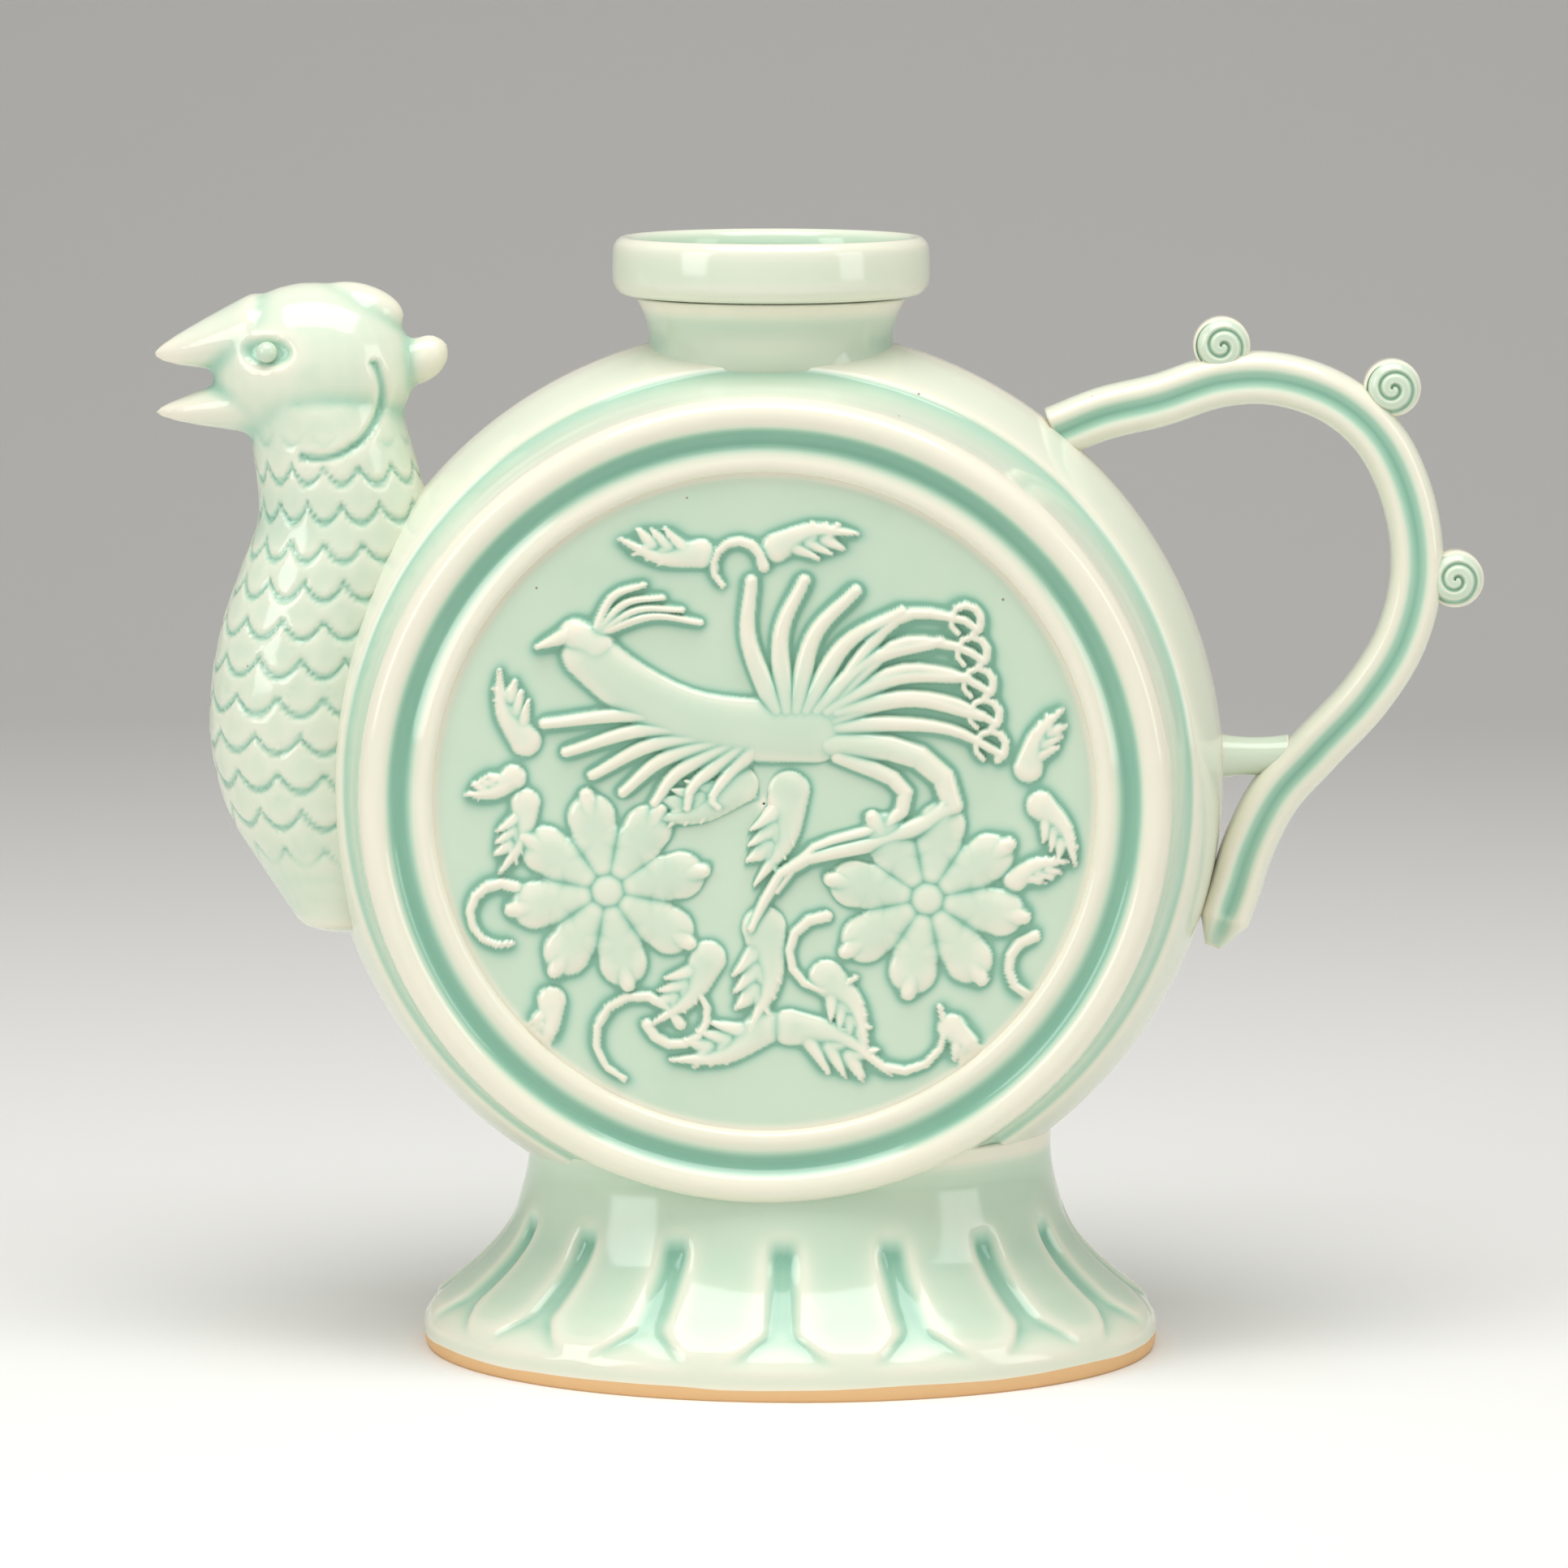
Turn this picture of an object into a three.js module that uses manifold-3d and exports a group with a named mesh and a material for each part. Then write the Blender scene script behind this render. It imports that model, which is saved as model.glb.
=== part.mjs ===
// A celadon ewer of moon-flask form: a round hollow drum on a lotus foot, with a short neck,
// a spout shaped as a bird and a scrolled strap handle. Millimetres, +Z up, the carved face to -Y.
import * as THREE from 'three';
import { mergeVertices } from 'three/addons/utils/BufferGeometryUtils.js';
import Module from 'manifold-3d';

const wasm = await Module();
wasm.setup();

// Driving dimensions
const lutingGap = 0.3; // the slip joint between two pieces of clay
const wall = 4.2; // the thrown and moulded wall
const round = 52; // facets round the drum

const drumCentreZ = 94.3;
const drumRadius = 74; // at the seam
const arrisRadius = 68.3; // the sharp edge where rim and face meet
const arrisDepth = 18; // from the seam to the arris
const beadRadius = 62; // the thick roll round the face
const beadDepth = 33.5; // from the seam to the top of the roll
const coveRadius = 57.5; // the groove inside the roll
const coveDepth = 31.2;
const lipRadius = 54; // the edge that frames the relief disc
const lipDepth = 32.6;
const recessDepth = 29.6; // the floor that the relief disc lies on
const lipWidth = 1.5;

const medallionThickness = 2.4;
const medallionCrown = 0.5;

const neckWaistRadius = 19.8;
const neckWaistZ = 166;
const neckTopRadius = 22;
const neckTopZ = 173;
const neckBaseHalfWidth = 38;
const neckBaseHalfDepth = arrisDepth - 0.8;
const neckBaseZ = 153;
const neckWall = 4.4;
const boreRadius = 15; // the hole in the collar's floor

const collarRadius = 25.7;
const collarInnerRadius = 22;
const collarHeight = 9.5;
const collarFloor = 3;
const collarRound = 0.9;

const footCentreX = 3.1;
const footHalfWidth = 60.6;
const footHalfDepth = 45;
const footWaistHalfWidth = 43;
const footWaistHalfDepth = 31;
const footTopZ = 37;
const footBand = 6.5; // the upright edge at the bottom
const footWall = 6;

const pourHoleRadius = 7;
const pourHoleZ = 97;
const breastHalfDepth = 17;
const throatHalfDepth = 12.5;
const headCentre = new THREE.Vector3(-74.5, 0, 161);
const headHalfLength = 16.5;
const headHalfDepth = 12;
const headHalfHeight = 14.2;
const beakTipX = -101.5;
const beakLength = 22;
const beakHalfDepth = 7;
const upperBeak = { z: 165.4, halfHeight: 5, drop: 0.12 }; // drop in radians below level
const lowerBeak = { z: 155.4, halfHeight: 4, drop: 0.06 };
const throatChannelRadius = 3.4;

const eyeRadius = 1.7;
const crestRadius = 4.2;
const tuftRadius = 3.6;

const strapWidth = 8.6; // across, in the plane of the handle
const strapDepth = 10; // front to back
const curlRadius = 4.6;
const curlDepth = 9;

const glaze = new THREE.MeshStandardMaterial({ color: '#c9dcc6', roughness: 0.12, metalness: 0 });
const paleGlaze = new THREE.MeshStandardMaterial({ color: '#dde4d0', roughness: 0.14, metalness: 0 });

// From a geometry to a solid and back
function solid(geometry) {
  const plain = geometry.clone();
  plain.deleteAttribute('normal');
  plain.deleteAttribute('uv');
  const merged = mergeVertices(plain, 1e-4);
  const position = merged.attributes.position;
  const index = merged.index.array;
  const triangles = [];
  let volume = 0;
  const a = new THREE.Vector3();
  const b = new THREE.Vector3();
  const c = new THREE.Vector3();
  for (let i = 0; i < index.length; i += 3) {
    const [p, q, r] = [index[i], index[i + 1], index[i + 2]];
    if (p === q || q === r || r === p) continue;
    triangles.push([p, q, r]);
    a.fromBufferAttribute(position, p);
    b.fromBufferAttribute(position, q);
    c.fromBufferAttribute(position, r);
    volume += a.dot(b.cross(c));
  }
  const outward = volume > 0 ? triangles : triangles.map(([p, q, r]) => [p, r, q]);
  return new wasm.Manifold(new wasm.Mesh({
    numProp: 3,
    vertProperties: new Float32Array(position.array),
    triVerts: new Uint32Array(outward.flat()),
  }));
}

function geometryOf(body) {
  const mesh = body.getMesh();
  const geometry = new THREE.BufferGeometry();
  geometry.setAttribute('position', new THREE.BufferAttribute(mesh.vertProperties, 3));
  geometry.setIndex(new THREE.BufferAttribute(mesh.triVerts, 1));
  return geometry;
}

const assembly = new THREE.Group();

function place(name, body, material = glaze) {
  const mesh = new THREE.Mesh(geometryOf(body), material);
  mesh.name = name;
  assembly.add(mesh);
}

// Rings of equal count, stacked and closed at both ends
function loft(rings) {
  const count = rings[0].length;
  const points = rings.flat();
  const first = new THREE.Vector3();
  const last = new THREE.Vector3();
  rings[0].forEach((point) => first.addScaledVector(point, 1 / count));
  rings.at(-1).forEach((point) => last.addScaledVector(point, 1 / count));
  points.push(first, last);
  const index = [];
  const top = (rings.length - 1) * count;
  for (let j = 0; j < count; j += 1) {
    const next = (j + 1) % count;
    for (let i = 0; i < rings.length - 1; i += 1) {
      const [low, high] = [i * count, (i + 1) * count];
      index.push(low + j, low + next, high + next, low + j, high + next, high + j);
    }
    index.push(points.length - 2, next, j, points.length - 1, top + j, top + next);
  }
  const geometry = new THREE.BufferGeometry().setFromPoints(points);
  geometry.setIndex(index);
  return geometry;
}

function ellipse(centreX, halfX, halfY, z, count) {
  return Array.from({ length: count }, (_, k) => {
    const angle = (2 * Math.PI * k) / count;
    return new THREE.Vector3(centreX + halfX * Math.cos(angle), halfY * Math.sin(angle), z);
  });
}

function ellipsoid(centre, halfX, halfY, halfZ, turn = 0, facets = 20) {
  const geometry = new THREE.SphereGeometry(1, facets, Math.round(facets * 0.6));
  geometry.scale(halfX, halfY, halfZ);
  geometry.rotateY(turn);
  geometry.translate(centre.x, centre.y, centre.z);
  return solid(geometry);
}

function uprightRod(radius, lowZ, highZ, count = 40) {
  const geometry = new THREE.CylinderGeometry(radius, radius, highZ - lowZ, count);
  geometry.rotateX(Math.PI / 2);
  geometry.translate(0, 0, (lowZ + highZ) / 2);
  return solid(geometry);
}

function slab(lowY, highY) {
  const geometry = new THREE.BoxGeometry(400, highY - lowY, 400);
  geometry.translate(0, (lowY + highY) / 2, 100);
  return solid(geometry);
}
const nearSide = slab(-100, -lutingGap / 2);
const farSide = slab(lutingGap / 2, 100);

// Drum: the face profile turned about the Y axis
function faceProfile(grow) {
  return [
    [0, recessDepth + grow],
    [lipRadius - lipWidth, recessDepth + grow],
    [lipRadius - lipWidth / 2, lipDepth + grow],
    [lipRadius + lipWidth, lipDepth - 0.4 + grow],
    [coveRadius, coveDepth + grow],
    [beadRadius - 2.2, beadDepth - 0.7 + grow],
    [beadRadius, beadDepth + grow],
    [beadRadius + 2.4 + grow, beadDepth - 1.4 + grow],
    [arrisRadius - 3 + grow, (beadDepth + arrisDepth) / 2 + grow],
    [arrisRadius + grow, arrisDepth + grow],
    [arrisRadius + 0.6 * (drumRadius - arrisRadius) + grow, arrisDepth * 0.62],
    [drumRadius - 0.7 + grow, arrisDepth * 0.3],
    [drumRadius + grow, 0],
  ];
}

function turned(points) {
  const profile = points.map(([r, y]) => new THREE.Vector2(r, y));
  const geometry = new THREE.LatheGeometry(profile, round);
  geometry.translate(0, 0, drumCentreZ);
  return solid(geometry);
}

function drumForm(grow) {
  const half = faceProfile(grow);
  const mirrored = half.slice(0, -1).reverse().map(([r, y]) => [r, -y]);
  return turned([...half, ...mirrored]);
}

function drumInside() {
  const inner = [
    [0, recessDepth - wall],
    [beadRadius - wall, recessDepth - wall],
    [arrisRadius - wall, arrisDepth - wall],
    [drumRadius - wall, 0],
  ];
  const mirrored = inner.slice(0, -1).reverse().map(([r, y]) => [r, -y]);
  return turned([...inner, ...mirrored]);
}

const drumSolid = drumForm(0);
const drumSeat = drumForm(lutingGap);
const pourHole = new THREE.CylinderGeometry(pourHoleRadius, pourHoleRadius, 2 * wall + 12, 24);
pourHole.rotateZ(Math.PI / 2);
pourHole.translate(-drumRadius + wall / 2, 0, pourHoleZ);
// Relief discs, one in the recess of each face
function medallion(side) {
  const back = recessDepth + lutingGap;
  const edge = lipRadius - lipWidth - lutingGap;
  const front = back + medallionThickness;
  return turned([
    [0, side * back],
    [edge, side * back],
    [edge, side * (front - medallionCrown)],
    [edge - 1, side * front],
    [0, side * (front + medallionCrown)],
  ]);
}
place('front_medallion', medallion(-1), paleGlaze);
place('back_medallion', medallion(1), paleGlaze);

// Neck: round at the waist, spread along the rim of the drum at its base
function neckRing(z, grow) {
  const down = Math.max(0, (neckWaistZ - z) / (neckWaistZ - neckBaseZ));
  const up = Math.max(0, (z - neckWaistZ) / (neckTopZ - neckWaistZ));
  const spread = down ** 2.2;
  const halfX = neckWaistRadius + (neckBaseHalfWidth - neckWaistRadius) * spread
    + (neckTopRadius - neckWaistRadius) * up ** 2;
  const halfY = neckWaistRadius + (neckBaseHalfDepth - neckWaistRadius) * spread
    + (neckTopRadius - neckWaistRadius) * up ** 2;
  return ellipse(0, halfX + grow, halfY + grow, z, 36);
}
const neckHeights = [0, 0.12, 0.25, 0.4, 0.52, 0.65, 0.8, 0.9, 1]
  .map((share) => neckBaseZ + (neckTopZ - neckBaseZ) * share);
function neckForm(grow, lowZ, highZ) {
  const middle = neckHeights.slice(1, -1).map((z) => neckRing(z, grow));
  return solid(loft([
    ...[lowZ, neckBaseZ].filter((z) => z < neckHeights[1]).map((z) => neckRing(Math.max(z, neckBaseZ), grow)
      .map((point) => point.clone().setZ(z))),
    ...middle,
    neckRing(neckTopZ, grow),
    neckRing(neckTopZ, grow).map((point) => point.clone().setZ(highZ)),
  ]));
}
const neckOuter = neckForm(0, neckBaseZ - 0.01, neckTopZ + 0.01);
const neckSeat = neckForm(lutingGap, neckBaseZ - lutingGap, neckTopZ + 2);
const neckInside = neckForm(-neckWall, neckBaseZ - 2, neckTopZ + 2);
place('neck', neckOuter.subtract(neckInside));

// The drum shell, open for the neck and the spout, in two moulded halves
const drumShell = drumSolid
  .subtract(drumInside())
  .subtract(neckSeat)
  .subtract(solid(pourHole));
place('front_body_half', drumShell.intersect(nearSide));
place('back_body_half', drumShell.intersect(farSide));

// Mouth collar: a shallow cup on the neck
const collarBase = neckTopZ + lutingGap;
const collarTop = collarBase + collarHeight;
const collarProfile = [
  [boreRadius, collarBase],
  [collarRadius - collarRound, collarBase],
  [collarRadius, collarBase + collarRound],
  [collarRadius, collarTop - collarRound],
  [collarRadius - collarRound, collarTop],
  [collarInnerRadius + collarRound, collarTop],
  [collarInnerRadius, collarTop - collarRound],
  [collarInnerRadius, collarBase + collarFloor],
  [boreRadius, collarBase + collarFloor],
  [boreRadius, collarBase],
];
const collar = new THREE.LatheGeometry(collarProfile.map(([r, z]) => new THREE.Vector2(r, z)), 36);
collar.rotateX(Math.PI / 2);
place('mouth_collar', solid(collar));

// Foot: a hollow oval skirt that takes the drum in its top
function footRing(z, inset) {
  const rise = Math.max(0, (z - footBand) / (footTopZ - footBand));
  const draw = Math.min(1, 1 - (1 - Math.min(1, rise * 1.25)) ** 1.9);
  const halfX = footHalfWidth + (footWaistHalfWidth - footHalfWidth) * draw - inset;
  const halfY = footHalfDepth + (footWaistHalfDepth - footHalfDepth) * draw - inset;
  return ellipse(footCentreX, halfX, halfY, z, 40);
}
const footHeights = [0, footBand, 9, 12, 16, 21, 27, footTopZ];
const footOuter = solid(loft(footHeights.map((z) => footRing(z, 0))));
const footInner = solid(loft([-2, footBand, 12, 20, footTopZ + 2].map((z) => footRing(z, footWall))));
place('foot', footOuter.subtract(footInner).subtract(drumSeat));

// Spout: the bird's breast and neck as rings between a front edge and a back edge
const birdStations = [
  // height, front x, back x, share of the way from throat depth to breast depth
  [72, -78.5, -62, 0.15],
  [80, -84, -58, 0.6],
  [88, -89, -56, 0.9],
  [96, -91.6, -56, 1],
  [105, -92.4, -56, 1],
  [117, -90.8, -55, 0.8],
  [129, -86.8, -54, 0.45],
  [137, -84, -55, 0.15],
  [147, -84.6, -58, 0],
  [155, -86, -60, 0],
];
function birdForm(inset) {
  const stations = inset > 0 ? birdStations.slice(1, -1) : birdStations;
  return solid(loft(stations.map(([z, front, back, share]) => {
    const halfDepth = throatHalfDepth + (breastHalfDepth - throatHalfDepth) * share - inset;
    const halfX = (back - front) / 2 - inset * 0.75;
    return ellipse((front + back) / 2 + inset * 0.1, halfX, halfDepth, z, 20);
  })));
}
function beak({ z, halfHeight, drop }) {
  const geometry = new THREE.ConeGeometry(1, beakLength, 16);
  geometry.rotateZ(Math.PI / 2);
  geometry.scale(1, beakHalfDepth, halfHeight);
  geometry.rotateY(-drop);
  geometry.translate(beakTipX + beakLength / 2, 0, z);
  return solid(geometry);
}
const throatLine = new THREE.CylinderGeometry(throatChannelRadius, throatChannelRadius, 40, 12);
throatLine.rotateZ(Math.PI / 2);
throatLine.translate(headCentre.x - 18, 0, headCentre.z - 1);
const gullet = new THREE.CylinderGeometry(throatChannelRadius, throatChannelRadius, 24, 12);
gullet.rotateX(Math.PI / 2);
gullet.translate(headCentre.x + 1.5, 0, headCentre.z - 12);

const eyePlaces = [-1, 1].map((side) => new THREE.Vector3(-81, side * (headHalfDepth - 1.2), 164.5));
const crestPlace = new THREE.Vector3(-67, 0, 171.5);
const tuftPlace = new THREE.Vector3(-56.6, 0, 162.5);
const crestForm = (grow) => ellipsoid(crestPlace, 7.5 + grow, crestRadius + grow, 3.8 + grow, 0.25, 14);
const tuftForm = (grow) => ellipsoid(tuftPlace, 5 + grow, tuftRadius + grow, 3.8 + grow, -0.6, 14);

let bird = birdForm(0)
  .add(ellipsoid(headCentre, headHalfLength, headHalfDepth, headHalfHeight))
  .add(beak(upperBeak))
  .add(beak(lowerBeak))
  .subtract(birdForm(wall))
  .subtract(solid(gullet))
  .subtract(solid(throatLine))
  .subtract(drumSeat)
  .subtract(crestForm(lutingGap))
  .subtract(tuftForm(lutingGap));
eyePlaces.forEach((centre) => {
  const socket = eyeRadius + lutingGap;
  bird = bird.subtract(ellipsoid(centre, socket, socket, socket, 0, 10));
});
place('spout_near_half', bird.intersect(nearSide));
place('spout_far_half', bird.intersect(farSide));
place('head_crest', crestForm(0));
place('nape_tuft', tuftForm(0));
eyePlaces.forEach((centre, k) => {
  place(['near_eye', 'far_eye'][k], ellipsoid(centre, eyeRadius, eyeRadius, eyeRadius, 0, 10));
});

// Handle: a strap pulled in one loop that ends as a tail on the rim of the drum
const strapLine = new THREE.CatmullRomCurve3([
  [46, 151], [54, 154.2], [63, 156.4], [73, 159.6], [82.5, 159.8], [92, 156.4], [99.2, 149.6],
  [103.7, 139.5], [105, 128.5], [102.6, 117.7], [97, 108.3], [89.2, 99.7], [82.6, 92.2],
  [78.4, 84], [75.8, 76], [72.6, 66.8],
].map(([x, z]) => new THREE.Vector3(x, 0, z)));
const strapSection = new THREE.Shape();
const [halfStrapDepth, halfStrapWidth] = [strapDepth / 2, strapWidth / 2];
strapSection.setFromPoints(Array.from({ length: 12 }, (_, k) => {
  const angle = (2 * Math.PI * k) / 12;
  const flatten = 0.7;
  const [c, s] = [Math.cos(angle), Math.sin(angle)];
  return new THREE.Vector2(
    halfStrapDepth * Math.sign(c) * Math.abs(c) ** flatten,
    halfStrapWidth * Math.sign(s) * Math.abs(s) ** flatten,
  );
}));
const strapGeometry = new THREE.ExtrudeGeometry(strapSection, { steps: 34, extrudePath: strapLine });

const curls = [
  ['handle_curl_top', 73, 165.4],
  ['handle_curl_shoulder', 100.6, 158.6],
  ['handle_curl_back', 111.2, 127.6],
];
function curl(x, z, grow) {
  const geometry = new THREE.CylinderGeometry(curlRadius + grow, curlRadius + grow, curlDepth + 2 * grow, 28);
  geometry.translate(x, 0, z);
  return solid(geometry);
}
let strap = solid(strapGeometry).subtract(drumSeat);
curls.forEach(([, x, z]) => {
  strap = strap.subtract(curl(x, z, lutingGap));
});
place('handle_strap', strap);
curls.forEach(([name, x, z]) => place(name, curl(x, z, 0)));

// The short stem that ties the loop to the drum above the tail
const stem = new THREE.CylinderGeometry(3.6, 3.6, 14, 20);
stem.rotateZ(Math.PI / 2);
stem.translate(77.5, 0, 98.2);
const stemSolid = solid(stem).subtract(drumSeat);
const strapSeat = solid(new THREE.ExtrudeGeometry(
  new THREE.Shape(strapSection.getPoints().map((p) => p.clone().multiplyScalar(1 + 2 * lutingGap / strapWidth))),
  { steps: 34, extrudePath: strapLine },
));
place('handle_stem', stemSolid.subtract(strapSeat));

// The origin is the middle of the base, on the surface that the ewer stands on
const bounds = new THREE.Box3().setFromObject(assembly);
const centre = bounds.getCenter(new THREE.Vector3());
assembly.children.forEach((mesh) => mesh.geometry.translate(-centre.x, -centre.y, -bounds.min.z));

export default assembly;
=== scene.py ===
# %% [markdown]
# A celadon ewer. The real object is fired clay under one thick, glossy green glaze. The packed
# model gives the size and place of every piece, so it is loaded first and nothing is resized.

# %% Load the frame
import math

import bmesh
import bpy
import numpy as np
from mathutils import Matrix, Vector


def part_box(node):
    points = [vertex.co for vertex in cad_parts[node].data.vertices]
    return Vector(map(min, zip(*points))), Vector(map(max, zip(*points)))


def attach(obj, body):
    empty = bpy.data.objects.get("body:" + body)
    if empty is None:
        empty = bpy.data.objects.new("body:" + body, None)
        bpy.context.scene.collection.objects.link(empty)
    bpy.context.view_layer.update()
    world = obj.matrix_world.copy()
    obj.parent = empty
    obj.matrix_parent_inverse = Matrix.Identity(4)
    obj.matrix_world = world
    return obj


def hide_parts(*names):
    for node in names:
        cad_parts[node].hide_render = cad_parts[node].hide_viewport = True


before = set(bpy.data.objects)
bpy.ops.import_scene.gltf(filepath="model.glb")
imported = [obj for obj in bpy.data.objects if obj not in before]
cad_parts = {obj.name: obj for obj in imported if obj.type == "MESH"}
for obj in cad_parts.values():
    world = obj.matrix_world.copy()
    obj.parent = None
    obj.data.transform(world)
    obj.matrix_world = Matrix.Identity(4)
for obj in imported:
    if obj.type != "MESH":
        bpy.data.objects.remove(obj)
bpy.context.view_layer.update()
MM = 0.001

# %% [markdown]
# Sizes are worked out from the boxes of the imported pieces, in millimetres. The drum's axis is the
# middle of its relief disc. Heights count up from the table, which the foot stands on.

# %% Places taken from the frame
DISC_COVER = 0.9  # glaze closes the joint round the disc
FOOT_SLACK = 0.05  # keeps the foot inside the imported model's box


def box_mm(node):
    low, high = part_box(node)
    return np.array(low) / MM, np.array(high) / MM


disc_low, disc_high = box_mm("front_medallion")
AXIS_X = (disc_low[0] + disc_high[0]) / 2
AXIS_Z = (disc_low[2] + disc_high[2]) / 2
DISC_RADIUS = (disc_high[0] - disc_low[0]) / 2 + DISC_COVER
DISC_BACK = -disc_high[1]
DRUM_RADIUS = AXIS_Z - box_mm("front_body_half")[0][2]
neck_low, neck_high = box_mm("neck")
cup_low, cup_high = box_mm("mouth_collar")
CUP_RADIUS = (cup_high[0] - cup_low[0]) / 2
foot_low, foot_high = box_mm("foot")
FOOT_X = (foot_low[0] + foot_high[0]) / 2
FOOT_HALF_WIDTH = (foot_high[0] - foot_low[0]) / 2
FOOT_HALF_DEPTH = foot_high[1] - FOOT_SLACK
print("drum radius", round(DRUM_RADIUS, 1), "cup radius", round(CUP_RADIUS, 1),
      "foot half width", round(FOOT_HALF_WIDTH, 1))

# %% [markdown]
# Nearly every surface here is a stack of rings of points, so one helper lists the faces between
# the rings and another makes the mesh. Points that fall together are welded, and smooth shading
# lets the glaze reflect as one skin.

# %% Mesh helpers
WELD_METRES = 0.00001


def link_object(name, mesh):
    mesh.polygons.foreach_set("use_smooth", [True] * len(mesh.polygons))
    made = bpy.data.objects.new(name, mesh)
    bpy.context.collection.objects.link(made)
    return made


def make_piece(name, points, faces):
    mesh = bpy.data.meshes.new(name)
    mesh.from_pydata((np.asarray(points) * MM).tolist(), [], faces)
    work = bmesh.new()
    work.from_mesh(mesh)
    bmesh.ops.remove_doubles(work, verts=work.verts, dist=WELD_METRES)
    bmesh.ops.recalc_face_normals(work, faces=work.faces)
    work.to_mesh(mesh)
    work.free()
    return link_object(name, mesh)


def grid_faces(rows, columns, wrap_rows=False):
    faces = []
    for i in range(rows if wrap_rows else rows - 1):
        low, high = i * columns, ((i + 1) % rows) * columns
        for j in range(columns):
            k = (j + 1) % columns
            faces.append((low + j, low + k, high + k, high + j))
    return faces


def end_faces(rows, columns):
    """The two flat faces that close the first and the last ring."""
    return [tuple(range(columns)), tuple(range((rows - 1) * columns, rows * columns))]


def full_turn(count):
    return np.linspace(0, 2 * math.pi, count, endpoint=False)


# %% [markdown]
# A potter's outline is one easy curve. It is written as a few points that its shape needs, and a
# spline through them gives the many close points that a smooth reflection needs.

# %% Curves
STEPS_PER_SPAN = 24


def spline(points, count):
    """A smooth curve through a few points, evenly spaced."""
    p = np.asarray(points, float)
    p = np.vstack([2 * p[0] - p[1], p, 2 * p[-1] - p[-2]])
    t = np.linspace(0, 1, STEPS_PER_SPAN, endpoint=False)[:, None]
    runs = []
    for a, b, c, d in zip(p[:-3], p[1:-2], p[2:-1], p[3:]):
        runs.append(0.5 * (2 * b + (c - a) * t + (2 * a - 5 * b + 4 * c - d) * t**2
                           + (3 * b - a - 3 * c + d) * t**3))
    fine = np.vstack(runs + [p[-2:-1]])
    travelled = np.r_[0, np.cumsum(np.linalg.norm(np.diff(fine, axis=0), axis=1))]
    even = np.linspace(0, travelled[-1], count)
    return np.column_stack([np.interp(even, travelled, fine[:, k]) for k in range(fine.shape[1])])


def smooth_step(low, high, value):
    t = np.clip((value - low) / (high - low), 0, 1)
    return t * t * (3 - 2 * t)


# %% [markdown]
# Celadon glaze runs off ridges and pools in hollows, so ridges are cream and hollows deep green.
# Each point gets a number for that: how far it lies below the average of its neighbours. More
# passes reach further for neighbours, and scale_mm is the depth that counts as a full pool.

# %% Glaze depth from the shape itself
def set_glaze_depth(piece, passes, scale_mm):
    mesh = piece.data
    count = len(mesh.vertices)
    place = np.empty(count * 3)
    mesh.vertices.foreach_get("co", place)
    place = place.reshape(-1, 3) / MM
    normal = np.empty(count * 3)
    mesh.vertices.foreach_get("normal", normal)
    normal = normal.reshape(-1, 3)
    edges = np.empty(len(mesh.edges) * 2, int)
    mesh.edges.foreach_get("vertices", edges)
    a, b = edges.reshape(-1, 2).T
    degree = np.maximum(np.bincount(a, minlength=count) + np.bincount(b, minlength=count), 1)
    soft = place.copy()
    for _ in range(passes):
        total = np.column_stack([
            np.bincount(a, soft[b, k], count) + np.bincount(b, soft[a, k], count)
            for k in range(3)])
        soft = 0.5 * soft + 0.5 * total / degree[:, None]
    depth = np.einsum("ij,ij->i", soft - place, normal) / scale_mm
    layer = mesh.attributes.new("glaze_depth", "FLOAT", "POINT")
    layer.data.foreach_set("value", np.clip(depth, -1, 1).astype(np.float32))


# %% [markdown]
# Colours are picked as screen colours, and Blender mixes light in linear values, so one function
# turns the first into the second. One more adds a shader node with its settings and its links.

# %% Material helpers
def linear(code):
    parts = [int(code[k:k + 2], 16) / 255 for k in (1, 3, 5)]
    return [c / 12.92 if c <= 0.04045 else ((c + 0.055) / 1.055) ** 2.4 for c in parts] + [1]


def node(tree, kind, settings=None, **links):
    """Add a node. A setting is an option or an input, and a link is an input's name, or i and
    its number, with what feeds it."""
    made = tree.nodes.new(kind)
    for key, value in (settings or {}).items():
        if isinstance(key, str) and hasattr(made, key):
            setattr(made, key, value)
        else:
            made.inputs[key].default_value = value
    for key, source in links.items():
        by_number = key[1:].isdigit()
        socket = made.inputs[int(key[1:]) if by_number else key.replace("_", " ")]
        tree.links.new(source, socket)
    return made


def mix_colour(tree, share, first, second):
    mix = node(tree, "ShaderNodeMix", {"data_type": "RGBA"})
    tree.links.new(share, mix.inputs[0])
    tree.links.new(first, mix.inputs[6])
    mix.inputs[7].default_value = second
    return mix.outputs[2]


# %% [markdown]
# Celadon is a clear glass coloured by a little iron, melted over pale stoneware. It has the
# index of glass and fires glossy. Its colour comes from the glaze depth, with a faint cloudiness
# from the kiln and a few pin holes where gas broke through. A slight ripple of the surface keeps
# the reflections from looking like plastic.

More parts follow.
